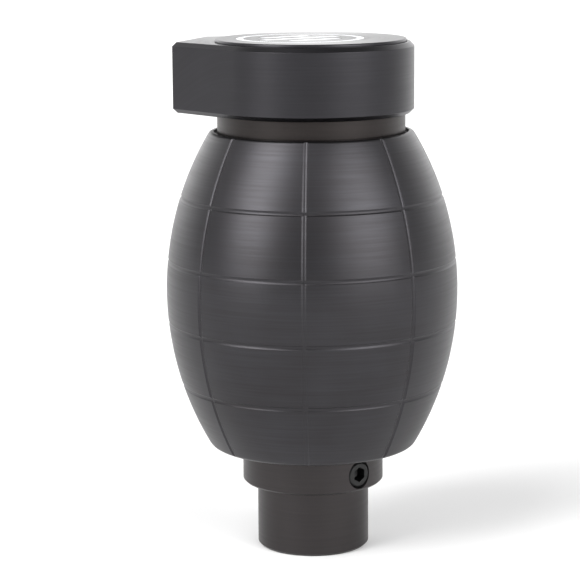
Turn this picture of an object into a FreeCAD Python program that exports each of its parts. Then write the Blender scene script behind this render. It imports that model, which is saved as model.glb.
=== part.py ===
import FreeCAD, Part
import math
import os

"""A grenade-shaped gear lever knob for an automatic gearbox, in millimetres.

The origin is the centre of the neck's underside and +Z points up the lever.
A turned barrel is clamped on a long core tube between the core's boss and a threaded
collar. A head block is screwed on the collar and capped by a crown disc. A thumb
button in the head's side boss drives a 45 degree cam, which pushes a central rod down
on the lever's own release rod. Two set screws squeeze a slit sleeve on the lever.
"""

# Heights of the main steps.
NECK_TOP = 12.7
BARREL_FOOT = 20.0
BARREL_TOP = 80.0
HEAD_FOOT = 83.4
HEAD_TOP = 96.6
CROWN_TOP = 97.2

# Core tube.
NECK_R = 10.65
BOSS_R = 13.45
STEM_R = 11.0
SLEEVE_BORE_R = 7.5
SLEEVE_BORE_TOP = 54.0
SPRING_BORE_R = 4.2
SPRING_BORE_FOOT = 60.0
NECK_CHAMFER = 0.5
BOSS_CHAMFER = 0.4

# Slit sleeve, which takes a 12 mm lever.
LEVER_R = 6.0
SLEEVE_R = 7.45
SLEEVE_LENGTH = 44.0
SLIT_WIDTH = 1.2
SLIT_ANGLE = 176.0

# Barrel: one arc from foot to lip.
BARREL_R = 27.6
ARC_R = 58.2
WAIST_Z = 49.7
BARREL_BORE_R = 11.05
LIP_BORE_R = 18.3
LIP_DEPTH = 2.0
FOOT_ROUND = 1.4
LIP_ROUND = 0.9

# Barrel grooves: rings at an even pitch and meridians at an even angle.
GROOVE_DEPTH = 0.19
GROOVE_HALF_WIDTH = 0.465
RING_START = 32.0
RING_COUNT = 4
RING_PITCH = 11.9
MERIDIAN_COUNT = 8
MERIDIAN_START = -93.1
MERIDIAN_REACH = 36.0

# Collar.
COLLAR_R = 17.65
COLLAR_CHAMFER = 0.3

# Head block, drawn with its side boss along +X and then turned.
BUTTON_ANGLE = 162.0
HEAD_R = 19.3
HEAD_CHAMFER = 0.8
END_FACE = 24.55
END_HALF_WIDTH = 8.4
END_CORNER_ROUND = 0.5
END_SEARCH = 0.4
RECESS_R = 17.95
RECESS_FLOOR = 95.4

# Head screws, M3 x 12 with socket heads.
SCREW_CIRCLE_R = 14.3
SCREW_ANGLES = (90.0, 180.0, 270.0)
SCREW_R = 1.5
SCREW_HEAD_R = 2.75
SCREW_HEAD_LENGTH = 3.0
SCREW_LENGTH = 12.0
SCREW_SEAT = 92.2
SCREW_HEX = 2.5

# Crown disc, its sealing ring and its inlaid mark.
CROWN_R = 17.86
CROWN_FOOT_R = 16.9
CROWN_STEP = 96.5
CROWN_ROUND = 0.3
RING_SEAL_R = 0.48
RING_SEAL_GAP = 0.02
INLAY_DEPTH = 0.25
INLAY_RING_OUT = 12.0
INLAY_RING_IN = 10.6
INLAY_BAR_WIDTH = 2.6
INLAY_BAR_PITCH = 4.8
INLAY_BAR_HALVES = (5.3, 8.5, 5.3)
INLAY_X = -2.0
INLAY_TURN = 35.0

# Button, bezel and cam, all on a level axis at the button's angle.
BUTTON_Z = 90.0
BUTTON_R = 4.2
BUTTON_STROKE = 3.5
BUTTON_RIM_PROUD = 0.8
BUTTON_DOME = 1.6
BUTTON_EDGE = 0.5
SHOULDER_R = 4.65
SHOULDER_IN = 16.4
SHOULDER_OUT = 18.1
BEZEL_R = 5.0
BEZEL_BORE_R = 4.25
BEZEL_IN = 18.2
STEM_PEG_R = 1.8
STEM_PEG_IN = 9.0
CAM_R = 3.6
CAM_GAP = 0.1
CAM_BORE_R = 3.65
CAM_BORE_END = -8.0
SHOULDER_BORE_R = 4.7
PIN_R = 0.8
PIN_HALF = 3.4
PIN_AT = 11.5

# Release rod, on the vertical axis.
ROD_R = 2.0
ROD_FOOT = 50.0
FOLLOWER_R = 2.8
FOLLOWER_FLANGE_R = 3.6
FOLLOWER_FOOT = 76.0
FOLLOWER_FLANGE_TOP = 77.5
ROD_TOP = 85.0
CROSS_PIN_R = 0.5
CROSS_PIN_HALF = 2.6
CROSS_PIN_Z = 78.6
TIP_R = 3.2
TIP_FOOT = 48.8
TIP_TOP = 52.6
TIP_CHAMFER = 0.6
RUNNING_GAP = 0.05

# Rod bushes and spring.
UPPER_BUSH_R = 5.0
UPPER_BUSH_FOOT = 79.9
UPPER_BUSH_TOP = 86.0
LOWER_BUSH_R = 4.0
LOWER_BUSH_FLANGE_R = 5.2
LOWER_BUSH_FLANGE = 1.2
WASHER_THICKNESS = 0.5
WASHER_R = 4.0
WASHER_GAP = 0.2
SPRING_WIRE_R = 0.3
SPRING_MEAN_R = 2.75
SPRING_TURNS = 8
SPRING_SECTIONS = 8
SPRING_END_GAP = 0.05

# Set screws, M5 x 5 with a 2.5 mm hex socket, and the dowel.
SET_ANGLES = {"set_screw_front": -49.0, "set_screw_rear": 41.0}
SET_Z = 15.9
SET_R = 2.45
SET_HOLE_R = 2.5
SET_MOUTH_R = 2.7
SET_MOUTH_DEPTH = 0.35
SET_FACE = 13.35
SET_LENGTH = 5.0
SET_EDGE = 0.35
SET_HEX = 2.5
SET_HEX_DEPTH = 2.0
DOWEL_R = 1.25
DOWEL_FOOT = 73.0
DOWEL_TOP = 82.0
DOWEL_CIRCLE_R = 14.3
DOWEL_ANGLE = 30.0

# How far a cutting tool runs out past the face that it opens.
RUN_OUT = 1.0
TOLERANCE = 0.01

UP = FreeCAD.Vector(0, 0, 1)
SIDE = FreeCAD.Vector(1, 0, 0)


def cylinder(radius, low, high):
    """A cylinder on the vertical axis between two heights."""
    return Part.makeCylinder(radius, high - low, FreeCAD.Vector(0, 0, low), UP)


def bar(radius, start, end):
    """A cylinder on the X axis between two distances."""
    return Part.makeCylinder(radius, end - start, FreeCAD.Vector(start, 0, 0), SIDE)


def tube(outer, inner, low, high):
    """A plain tube on the vertical axis."""
    return cylinder(outer, low, high).cut(cylinder(inner, low, high))


def turned(points):
    """A solid turned about the vertical axis from a closed outline of (radius, height)."""
    corners = [FreeCAD.Vector(r, 0, z) for r, z in points]
    outline = Part.makePolygon(corners + corners[:1])
    return Part.Face(outline).revolve(FreeCAD.Vector(0, 0, 0), UP, 360)


def circle_edges(shape, radius, height):
    """The circular edges of a shape with this radius at this height."""
    found = []
    for edge in shape.Edges:
        if edge.Curve.TypeId != "Part::GeomCircle":
            continue
        if abs(edge.Curve.Radius - radius) > TOLERANCE:
            continue
        if abs(edge.Curve.Center.z - height) < TOLERANCE:
            found.append(edge)
    return found


def level_edges(shape, height):
    """The edges of a shape that lie at one height."""
    found = []
    for edge in shape.Edges:
        box = edge.BoundBox
        if abs(box.ZMin - height) < TOLERANCE and abs(box.ZMax - height) < TOLERANCE:
            found.append(edge)
    return found


def polar(radius, degrees, height=0.0):
    """The point at a radius and an angle about the vertical axis."""
    turn = math.radians(degrees)
    return FreeCAD.Vector(radius * math.cos(turn), radius * math.sin(turn), height)


def turn_about_z(shape, degrees):
    """A copy of a shape turned about the vertical axis."""
    moved = shape.copy()
    moved.rotate(FreeCAD.Vector(0, 0, 0), UP, degrees)
    return moved


def on_button_axis(shape):
    """Carry a shape drawn along +X to the button's level axis."""
    moved = turn_about_z(shape, BUTTON_ANGLE)
    moved.translate(FreeCAD.Vector(0, 0, BUTTON_Z))
    return moved


def hexagon(across_flats, depth, top):
    """A vertical hexagonal prism that ends at a height."""
    radius = across_flats / math.sqrt(3)
    corners = [polar(radius, 60 * side, top - depth) for side in range(7)]
    return Part.Face(Part.makePolygon(corners)).extrude(FreeCAD.Vector(0, 0, depth))


def barrel_radius(height):
    """The barrel's radius at a height, on its single arc."""
    return BARREL_R - ARC_R + math.sqrt(ARC_R ** 2 - (height - WAIST_Z) ** 2)


def groove_section():
    """The shallow V that cuts a groove, as a face at the flank's radius on the X axis."""
    outside = ARC_R + GROOVE_DEPTH
    corners = [
        FreeCAD.Vector(ARC_R - GROOVE_DEPTH, 0, 0),
        FreeCAD.Vector(outside, 0, -2 * GROOVE_HALF_WIDTH),
        FreeCAD.Vector(outside, 0, 2 * GROOVE_HALF_WIDTH),
    ]
    return Part.Face(Part.makePolygon(corners + corners[:1]))


def ring_cutter(height):
    """A V ring that cuts square to the barrel's flank at a height."""
    lean = math.degrees(math.asin((height - WAIST_Z) / ARC_R))
    section = groove_section()
    section.rotate(FreeCAD.Vector(0, 0, 0), FreeCAD.Vector(0, 1, 0), -lean)
    section.translate(FreeCAD.Vector(BARREL_R - ARC_R, 0, WAIST_Z))
    return section.revolve(FreeCAD.Vector(0, 0, 0), UP, 360)


def meridian_cutter(angle):
    """A curved V bar that follows the barrel's arc from foot to lip at one angle."""
    section = turn_about_z(groove_section(), -MERIDIAN_REACH)
    cutter = section.revolve(FreeCAD.Vector(0, 0, 0), UP, 2 * MERIDIAN_REACH)
    cutter.rotate(FreeCAD.Vector(0, 0, 0), SIDE, 90)
    cutter.translate(FreeCAD.Vector(BARREL_R - ARC_R, 0, WAIST_Z))
    return turn_about_z(cutter, angle)


def make_barrel():
    """The bulging turned barrel with its ring and meridian grooves."""
    foot = FreeCAD.Vector(barrel_radius(BARREL_FOOT), 0, BARREL_FOOT)
    waist = FreeCAD.Vector(BARREL_R, 0, WAIST_Z)
    lip = FreeCAD.Vector(barrel_radius(BARREL_TOP), 0, BARREL_TOP)
    flank = Part.Arc(foot, waist, lip).toShape()
    inside = [
        (LIP_BORE_R, BARREL_TOP),
        (LIP_BORE_R, BARREL_TOP - LIP_DEPTH),
        (BARREL_BORE_R, BARREL_TOP - LIP_DEPTH),
        (BARREL_BORE_R, BARREL_FOOT),
    ]
    corners = [lip] + [FreeCAD.Vector(r, 0, z) for r, z in inside] + [foot]
    outline = Part.Wire([flank] + Part.makePolygon(corners).Edges)
    solid = Part.Face(outline).revolve(FreeCAD.Vector(0, 0, 0), UP, 360)
    solid = solid.makeFillet(FOOT_ROUND, circle_edges(solid, foot.x, BARREL_FOOT))
    solid = solid.makeFillet(LIP_ROUND, circle_edges(solid, lip.x, BARREL_TOP))
    for step in range(RING_COUNT):
        solid = solid.cut(ring_cutter(RING_START + RING_PITCH * step))
    for step in range(MERIDIAN_COUNT):
        solid = solid.cut(meridian_cutter(MERIDIAN_START + step * 360.0 / MERIDIAN_COUNT))
    dowel = cylinder(DOWEL_R, DOWEL_FOOT, BARREL_TOP)
    dowel.translate(polar(DOWEL_CIRCLE_R, DOWEL_ANGLE))
    return solid.cut(dowel)


def make_lever_socket():
    """The core tube: neck, boss and the long stem that the barrel slides on."""
    solid = turned([
        (SLEEVE_BORE_R, 0),
        (NECK_R - NECK_CHAMFER, 0),
        (NECK_R, NECK_CHAMFER),
        (NECK_R, NECK_TOP),
        (BOSS_R - BOSS_CHAMFER, NECK_TOP),
        (BOSS_R, NECK_TOP + BOSS_CHAMFER),
        (BOSS_R, BARREL_FOOT),
        (STEM_R, BARREL_FOOT),
        (STEM_R, HEAD_FOOT),
        (UPPER_BUSH_R, HEAD_FOOT),
        (UPPER_BUSH_R, UPPER_BUSH_FOOT),
        (SPRING_BORE_R, UPPER_BUSH_FOOT),
        (SPRING_BORE_R, SPRING_BORE_FOOT),
        (LOWER_BUSH_R, SPRING_BORE_FOOT),
        (LOWER_BUSH_R, SLEEVE_BORE_TOP),
        (SLEEVE_BORE_R, SLEEVE_BORE_TOP),
    ])
    for angle in SET_ANGLES.values():
        hole = bar(SET_HOLE_R, STEM_PEG_R, BOSS_R + RUN_OUT)
        mouth = Part.makeCone(
            SET_HOLE_R,
            SET_MOUTH_R,
            SET_MOUTH_DEPTH,
            FreeCAD.Vector(BOSS_R - SET_MOUTH_DEPTH, 0, 0),
            SIDE,
        )
        cutter = hole.fuse(mouth)
        cutter.translate(FreeCAD.Vector(0, 0, SET_Z))
        solid = solid.cut(turn_about_z(cutter, angle))
    return solid


def make_lever_sleeve():
    """The slit nylon sleeve that grips the lever."""
    sleeve = tube(SLEEVE_R, LEVER_R, 0, SLEEVE_LENGTH)
    corner = FreeCAD.Vector(0, -SLIT_WIDTH / 2, 0)
    slit = Part.makeBox(SLEEVE_R + RUN_OUT, SLIT_WIDTH, SLEEVE_LENGTH, corner)
    return sleeve.cut(turn_about_z(slit, SLIT_ANGLE))


def make_collar_ring():
    """The threaded collar that clamps the barrel and carries the head."""
    foot = BARREL_TOP - LIP_DEPTH
    solid = turned([
        (STEM_R, foot),
        (COLLAR_R - COLLAR_CHAMFER, foot),
        (COLLAR_R, foot + COLLAR_CHAMFER),
        (COLLAR_R, HEAD_FOOT),
        (STEM_R, HEAD_FOOT),
    ])
    for angle in SCREW_ANGLES:
        hole = cylinder(SCREW_R, foot, HEAD_FOOT)
        hole.translate(polar(SCREW_CIRCLE_R, BUTTON_ANGLE + angle))
        solid = solid.cut(hole)
    dowel = cylinder(DOWEL_R, foot, DOWEL_TOP)
    dowel.translate(polar(DOWEL_CIRCLE_R, DOWEL_ANGLE))
    return solid.cut(dowel)


def head_outline():
    """The head's plan: a circle with a tapered boss along +X, tangent on both sides."""
    corner = FreeCAD.Vector(END_FACE, END_HALF_WIDTH, HEAD_FOOT)
    reach = math.hypot(corner.x, corner.y)
    lean = math.atan2(corner.y, corner.x) + math.acos(HEAD_R / reach)
    touch = polar(HEAD_R, math.degrees(lean), HEAD_FOOT)
    low_touch = FreeCAD.Vector(touch.x, -touch.y, HEAD_FOOT)
    low_corner = FreeCAD.Vector(corner.x, -corner.y, HEAD_FOOT)
    back = FreeCAD.Vector(-HEAD_R, 0, HEAD_FOOT)
    round_back = Part.Arc(touch, back, low_touch).toShape()
    flats = Part.makePolygon([low_touch, low_corner, corner, touch])
    return Part.Wire([round_back] + flats.Edges)


def end_corner_edges(solid):
    """The upright and slanting edges at the two corners of the boss's end face."""
    found = []
    for edge in solid.Edges:
        box = edge.BoundBox
        at_end = box.XMin > END_FACE - HEAD_CHAMFER - END_SEARCH
        at_side = abs(abs(box.Center.y) - END_HALF_WIDTH) < HEAD_CHAMFER + END_SEARCH
        short = box.YLength < HEAD_CHAMFER + END_SEARCH
        if box.ZLength > TOLERANCE and at_end and at_side and short:
            found.append(edge)
    return found


def make_head_block():
    """The head block, bored for the button, the cam, the upper bush and three screws."""
    solid = Part.Face(head_outline()).extrude(FreeCAD.Vector(0, 0, HEAD_TOP - HEAD_FOOT))
    rims = level_edges(solid, HEAD_FOOT) + level_edges(solid, HEAD_TOP)
    solid = solid.makeChamfer(HEAD_CHAMFER, rims)
    solid = solid.makeFillet(END_CORNER_ROUND, end_corner_edges(solid))
    solid = solid.cut(cylinder(RECESS_R, RECESS_FLOOR, HEAD_TOP + RUN_OUT))
    solid = solid.cut(cylinder(UPPER_BUSH_R, HEAD_FOOT - RUN_OUT, UPPER_BUSH_TOP))
    solid = solid.cut(cylinder(FOLLOWER_R + RUNNING_GAP, UPPER_BUSH_TOP, BUTTON_Z))
    shoulder_stop = SHOULDER_IN - BUTTON_STROKE - CAM_GAP
    bores = bar(CAM_BORE_R, CAM_BORE_END, END_FACE)
    bores = bores.fuse(bar(SHOULDER_BORE_R, shoulder_stop, END_FACE))
    bores = bores.fuse(bar(BEZEL_R, BEZEL_IN, END_FACE + RUN_OUT))
    bores.translate(FreeCAD.Vector(0, 0, BUTTON_Z))
    solid = solid.cut(bores)
    for angle in SCREW_ANGLES:
        hole = cylinder(SCREW_R, HEAD_FOOT - RUN_OUT, SCREW_SEAT)
        hole = hole.fuse(cylinder(SCREW_HEAD_R, SCREW_SEAT, HEAD_TOP))
        hole.translate(polar(SCREW_CIRCLE_R, angle))
        solid = solid.cut(hole)
    return turn_about_z(solid, BUTTON_ANGLE)


def make_head_screws():
    """Three M3 socket head screws as one group of separate solids."""
    screws = []
    for angle in SCREW_ANGLES:
        top = SCREW_SEAT + SCREW_HEAD_LENGTH
        screw = cylinder(SCREW_R, SCREW_SEAT - SCREW_LENGTH, SCREW_SEAT)
        screw = screw.fuse(cylinder(SCREW_HEAD_R, SCREW_SEAT, top))
        screw = screw.removeSplitter().cut(hexagon(SCREW_HEX, SCREW_HEAD_LENGTH / 2, top))
        screw.translate(polar(SCREW_CIRCLE_R, BUTTON_ANGLE + angle))
        screws.append(screw)
    return Part.makeCompound(screws)


def inlay_pattern():
    """The inlaid mark: a ring with three slanted bars, drawn about its own centre."""
    floor = CROWN_TOP - INLAY_DEPTH
    mark = tube(INLAY_RING_OUT, INLAY_RING_IN, floor, CROWN_TOP)
    pieces = [mark]
    for step, half in enumerate(INLAY_BAR_HALVES):
        across = (step - 1) * INLAY_BAR_PITCH - INLAY_BAR_WIDTH / 2
        corner = FreeCAD.Vector(-half, across, floor)
        piece = Part.makeBox(2 * half, INLAY_BAR_WIDTH, INLAY_DEPTH, corner)
        pieces.append(turn_about_z(piece, INLAY_TURN))
    for piece in pieces:
        piece.translate(FreeCAD.Vector(INLAY_X, 0, 0))
    return Part.makeCompound(pieces)


def make_crown_disc():
    """The crown disc, stepped underneath for its sealing ring and cut for the inlay."""
    solid = turned([
        (0, RECESS_FLOOR),
        (CROWN_FOOT_R, RECESS_FLOOR),
        (CROWN_FOOT_R, CROWN_STEP),
        (CROWN_R, CROWN_STEP),
        (CROWN_R, CROWN_TOP),
        (0, CROWN_TOP),
    ])
    solid = solid.makeFillet(CROWN_ROUND, circle_edges(solid, CROWN_R, CROWN_TOP))
    for piece in inlay_pattern().Solids:
        solid = solid.cut(piece)
    return solid


def make_crown_seal():
    """The rubber ring that holds the crown disc in the head by friction."""
    middle = FreeCAD.Vector(0, 0, 0.5 * (RECESS_FLOOR + CROWN_STEP))
    ring_r = CROWN_FOOT_R + RING_SEAL_R + RING_SEAL_GAP
    return Part.makeTorus(ring_r, RING_SEAL_R, middle, UP)


def make_thumb_button():
    """The domed button with the shoulder that keeps it in and a peg for the cam."""
    rim = END_FACE + BUTTON_RIM_PROUD
    dome_r = (BUTTON_R ** 2 + BUTTON_DOME ** 2) / (2 * BUTTON_DOME)
    ball = Part.makeSphere(dome_r, FreeCAD.Vector(rim + BUTTON_DOME - dome_r, 0, 0))
    crown = ball.common(bar(BUTTON_R, rim - RUN_OUT, rim + BUTTON_DOME + RUN_OUT))
    button = bar(BUTTON_R, SHOULDER_OUT, rim - BUTTON_EDGE).fuse(crown)
    button = button.fuse(bar(SHOULDER_R, SHOULDER_IN, SHOULDER_OUT))
    button = button.fuse(bar(STEM_PEG_R, STEM_PEG_IN, SHOULDER_IN)).removeSplitter()
    return on_button_axis(button.cut(button_pin_solid()))


def button_pin_solid():
    """The cross pin, drawn on the +X axis before it is carried to its place."""
    base = FreeCAD.Vector(PIN_AT, 0, -PIN_HALF)
    return Part.makeCylinder(PIN_R, 2 * PIN_HALF, base, UP)


def make_cam_slide():
    """The round cam bar: its inner end is a 45 degree face that looks down and inwards."""
    solid = bar(CAM_R, -2 * CAM_R, SHOULDER_IN)
    solid = solid.cut(bar(STEM_PEG_R, STEM_PEG_IN, SHOULDER_IN))
    solid = solid.cut(button_pin_solid())
    side = 8 * CAM_R
    below = Part.makeBox(side, side, side, FreeCAD.Vector(-side, -side / 2, -side / 2))
    below.rotate(FreeCAD.Vector(0, 0, 0), FreeCAD.Vector(0, 1, 0), -45)
    below.translate(FreeCAD.Vector(CAM_GAP, 0, 0))
    return on_button_axis(solid.cut(below))


def make_cam_follower():
    """The follower on the rod's top, cut at 45 degrees to meet the cam."""
    solid = cylinder(FOLLOWER_R, FOLLOWER_FOOT, BUTTON_Z + FOLLOWER_R)
    solid = solid.fuse(cylinder(FOLLOWER_FLANGE_R, FOLLOWER_FOOT, FOLLOWER_FLANGE_TOP))
    solid = solid.removeSplitter()
    side = 8 * FOLLOWER_R
    above = Part.makeBox(side, side, side, FreeCAD.Vector(0, -side / 2, -side / 2))
    above.rotate(FreeCAD.Vector(0, 0, 0), FreeCAD.Vector(0, 1, 0), -45)
    solid = solid.cut(on_button_axis(above))
    solid = solid.cut(cylinder(ROD_R, FOLLOWER_FOOT, ROD_TOP))
    return solid.cut(cross_pin_solid())


def cross_pin_solid():
    """The pin through the follower and the rod, square to the button's axis."""
    base = FreeCAD.Vector(0, -CROSS_PIN_HALF, CROSS_PIN_Z)
    pin = Part.makeCylinder(CROSS_PIN_R, 2 * CROSS_PIN_HALF, base, FreeCAD.Vector(0, 1, 0))
    return turn_about_z(pin, BUTTON_ANGLE)


def make_push_rod():
    """The steel release rod."""
    return cylinder(ROD_R, ROD_FOOT, ROD_TOP).cut(cross_pin_solid())


def make_rod_tip():
    """The nylon cap on the rod's lower end."""
    solid = cylinder(TIP_R, TIP_FOOT, TIP_TOP)
    solid = solid.makeChamfer(TIP_CHAMFER, circle_edges(solid, TIP_R, TIP_FOOT))
    return solid.cut(cylinder(ROD_R, ROD_FOOT, TIP_TOP))


def make_lower_bush():
    """The flanged bush that guides the rod above the lever."""
    foot = SLEEVE_BORE_TOP - LOWER_BUSH_FLANGE
    solid = cylinder(LOWER_BUSH_R, foot, SPRING_BORE_FOOT)
    solid = solid.fuse(cylinder(LOWER_BUSH_FLANGE_R, foot, SLEEVE_BORE_TOP)).removeSplitter()
    return solid.cut(cylinder(ROD_R + RUNNING_GAP, foot, SPRING_BORE_FOOT))


def make_rod_spring():
    """The compression spring: round wire lofted through sections along its helix."""
    low = SPRING_BORE_FOOT + WASHER_THICKNESS + SPRING_WIRE_R + SPRING_END_GAP
    high = FOLLOWER_FOOT - SPRING_WIRE_R - SPRING_END_GAP
    rise = (high - low) / (2 * math.pi * SPRING_TURNS)
    count = SPRING_TURNS * SPRING_SECTIONS
    sections = []
    for step in range(count + 1):
        degrees = 360.0 * step / SPRING_SECTIONS
        centre = polar(SPRING_MEAN_R, degrees, low + rise * math.radians(degrees))
        along = polar(SPRING_MEAN_R, degrees + 90.0, rise)
        sections.append(Part.Wire(Part.makeCircle(SPRING_WIRE_R, centre, along)))
    return Part.makeLoft(sections, True, False)


def make_set_screw(angle):
    """One M5 cup screw, its face just below the boss's surface."""
    body = cylinder(SET_R, 0, SET_LENGTH)
    rims = circle_edges(body, SET_R, 0) + circle_edges(body, SET_R, SET_LENGTH)
    body = body.makeChamfer(SET_EDGE, rims)
    body = body.cut(hexagon(SET_HEX, SET_HEX_DEPTH, SET_LENGTH))
    body.rotate(FreeCAD.Vector(0, 0, 0), FreeCAD.Vector(0, 1, 0), 90)
    body.translate(FreeCAD.Vector(SET_FACE - SET_LENGTH, 0, SET_Z))
    return turn_about_z(body, angle)


def make_dowel():
    """The dowel that stops the barrel turning under the collar."""
    solid = cylinder(DOWEL_R, DOWEL_FOOT, DOWEL_TOP)
    solid.translate(polar(DOWEL_CIRCLE_R, DOWEL_ANGLE))
    return solid


def make_parts():
    """Every sub-part by name."""
    washer_top = SPRING_BORE_FOOT + WASHER_THICKNESS
    bezel = bar(BEZEL_R, BEZEL_IN, END_FACE).cut(bar(BEZEL_BORE_R, BEZEL_IN, END_FACE))
    parts = {
        "barrel": make_barrel(),
        "lever_socket": make_lever_socket(),
        "lever_sleeve": make_lever_sleeve(),
        "collar_ring": make_collar_ring(),
        "barrel_dowel": make_dowel(),
        "head_block": make_head_block(),
        "head_screws": make_head_screws(),
        "crown_disc": make_crown_disc(),
        "crown_inlay": inlay_pattern(),
        "crown_seal": make_crown_seal(),
        "button_bezel": on_button_axis(bezel),
        "thumb_button": make_thumb_button(),
        "button_pin": on_button_axis(button_pin_solid()),
        "cam_slide": make_cam_slide(),
        "cam_follower": make_cam_follower(),
        "follower_pin": cross_pin_solid(),
        "push_rod": make_push_rod(),
        "rod_tip": make_rod_tip(),
        "upper_rod_bush": tube(
            UPPER_BUSH_R, FOLLOWER_R + RUNNING_GAP, UPPER_BUSH_FOOT, UPPER_BUSH_TOP
        ),
        "lower_rod_bush": make_lower_bush(),
        "spring_washer": tube(WASHER_R, ROD_R + WASHER_GAP, SPRING_BORE_FOOT, washer_top),
        "rod_spring": make_rod_spring(),
    }
    for name, angle in SET_ANGLES.items():
        parts[name] = make_set_screw(angle)
    return parts


os.makedirs("parts", exist_ok=True)
for node, shape in make_parts().items():
    shape.exportStep("parts/" + node + ".step")
    print(node, len(shape.Solids), round(shape.Volume, 1), shape.isValid())
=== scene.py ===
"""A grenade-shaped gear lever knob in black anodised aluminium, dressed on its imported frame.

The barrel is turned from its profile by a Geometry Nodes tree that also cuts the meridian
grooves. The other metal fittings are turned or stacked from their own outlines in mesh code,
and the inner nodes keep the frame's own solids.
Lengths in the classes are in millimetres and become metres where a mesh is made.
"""

import logging
import math
from dataclasses import dataclass, field
from enum import Enum
from functools import partial

import bmesh
import bpy
from mathutils import Euler, Matrix, Vector


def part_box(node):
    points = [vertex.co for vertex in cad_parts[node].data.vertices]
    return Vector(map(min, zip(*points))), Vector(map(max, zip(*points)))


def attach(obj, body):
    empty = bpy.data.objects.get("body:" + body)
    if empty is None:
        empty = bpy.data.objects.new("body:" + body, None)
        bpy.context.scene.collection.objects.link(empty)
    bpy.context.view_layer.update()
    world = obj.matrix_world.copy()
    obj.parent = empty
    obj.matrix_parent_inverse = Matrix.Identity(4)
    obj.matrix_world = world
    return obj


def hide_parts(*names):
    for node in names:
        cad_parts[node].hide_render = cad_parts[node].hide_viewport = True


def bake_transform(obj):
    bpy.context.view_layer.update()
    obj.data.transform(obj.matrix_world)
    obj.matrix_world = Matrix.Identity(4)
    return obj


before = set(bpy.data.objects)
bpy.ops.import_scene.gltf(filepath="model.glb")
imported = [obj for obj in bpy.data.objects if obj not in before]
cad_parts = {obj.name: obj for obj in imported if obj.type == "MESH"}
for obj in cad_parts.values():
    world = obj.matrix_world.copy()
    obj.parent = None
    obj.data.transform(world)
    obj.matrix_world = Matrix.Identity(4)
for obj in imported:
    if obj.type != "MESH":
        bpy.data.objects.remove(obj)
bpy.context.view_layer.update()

Tree = bpy.types.NodeTree
Node = bpy.types.Node
Socket = bpy.types.NodeSocket
Piece = bpy.types.Object
EditMesh = bmesh.types.BMesh
Pair = tuple[float, float]
Outline = list[Pair]

LOG = logging.getLogger("gear_knob")
MM = 0.001
MERGE_DISTANCE = 2e-6
SHARP_ANGLE = math.radians(32)
STILL = Matrix.Identity(4)
EDGE_STEPS = 2
TOOL_SEGMENTS = 64
FINE_SEGMENTS = 96


def srgb(code: str) -> tuple[float, float, float, float]:
    """Turn an sRGB hex colour into the linear colour that a shader takes.

    Args:
        code: Six hex digits, such as "3c3c40".

    Returns:
        Red, green, blue and an alpha of one.
    """
    shares = [int(code[place:place + 2], 16) / 255 for place in (0, 2, 4)]
    linear = [s / 12.92 if s <= 0.04045 else ((s + 0.055) / 1.055) ** 2.4 for s in shares]
    return (linear[0], linear[1], linear[2], 1.0)


def add_node(
    tree: Tree,
    kind: str,
    inputs: dict[int | str, object] | None = None,
    **settings: object,
) -> Node:
    """Add a node with its settings, and fill or link its inputs.

    Args:
        tree: The tree that gets the node.
        kind: The node's type name.
        inputs: A value, a socket or a node (for its first output) by input name or place.
        settings: Properties of the node itself.

    Returns:
        The new node.
    """
    node = tree.nodes.new(kind)
    for name, value in settings.items():
        setattr(node, name, value)
    for key, value in (inputs or {}).items():
        if isinstance(value, Node):
            value = value.outputs[0]
        if isinstance(value, Socket):
            tree.links.new(value, node.inputs[key])
        else:
            node.inputs[key].default_value = value
    return node


def formula(tree: Tree, operation: str, *values: object) -> Socket:
    """Add one step of arithmetic.

    Args:
        tree: The shader or geometry tree.
        operation: The Math node's operation.
        values: Numbers or sockets, in the operation's order.

    Returns:
        The result's socket.
    """
    step = add_node(tree, "ShaderNodeMath", dict(enumerate(values)), operation=operation)
    return step.outputs[0]


class ScrewSide(Enum):
    """The two set screws, each with its angle about +Z in degrees."""

    FRONT = -49.0
    REAR = 41.0


@dataclass(frozen=True)
class Axis:
    """The line that a piece is turned about: upright, or level at an angle about +Z.

    Args:
        height: How high the line's start is, in millimetres.
        angle: The level line's angle in degrees, or None for an upright line.
    """

    height: float = 0.0
    angle: float | None = None

    def tilt(self) -> Euler:
        """Find the turn that carries +Z to the line.

        Returns:
            The turn about X, Y and Z.
        """
        if self.angle is None:
            return Euler((0.0, 0.0, 0.0))
        return Euler((0.0, math.radians(90.0), math.radians(self.angle)))

    def matrix(self) -> Matrix:
        """The place of the line's own frame, in metres."""
        return Matrix.LocRotScale(Vector((0.0, 0.0, self.height * MM)), self.tilt(), None)


UPRIGHT = Axis()
BUTTON_AXIS = Axis(90.0, 162.0)


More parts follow.
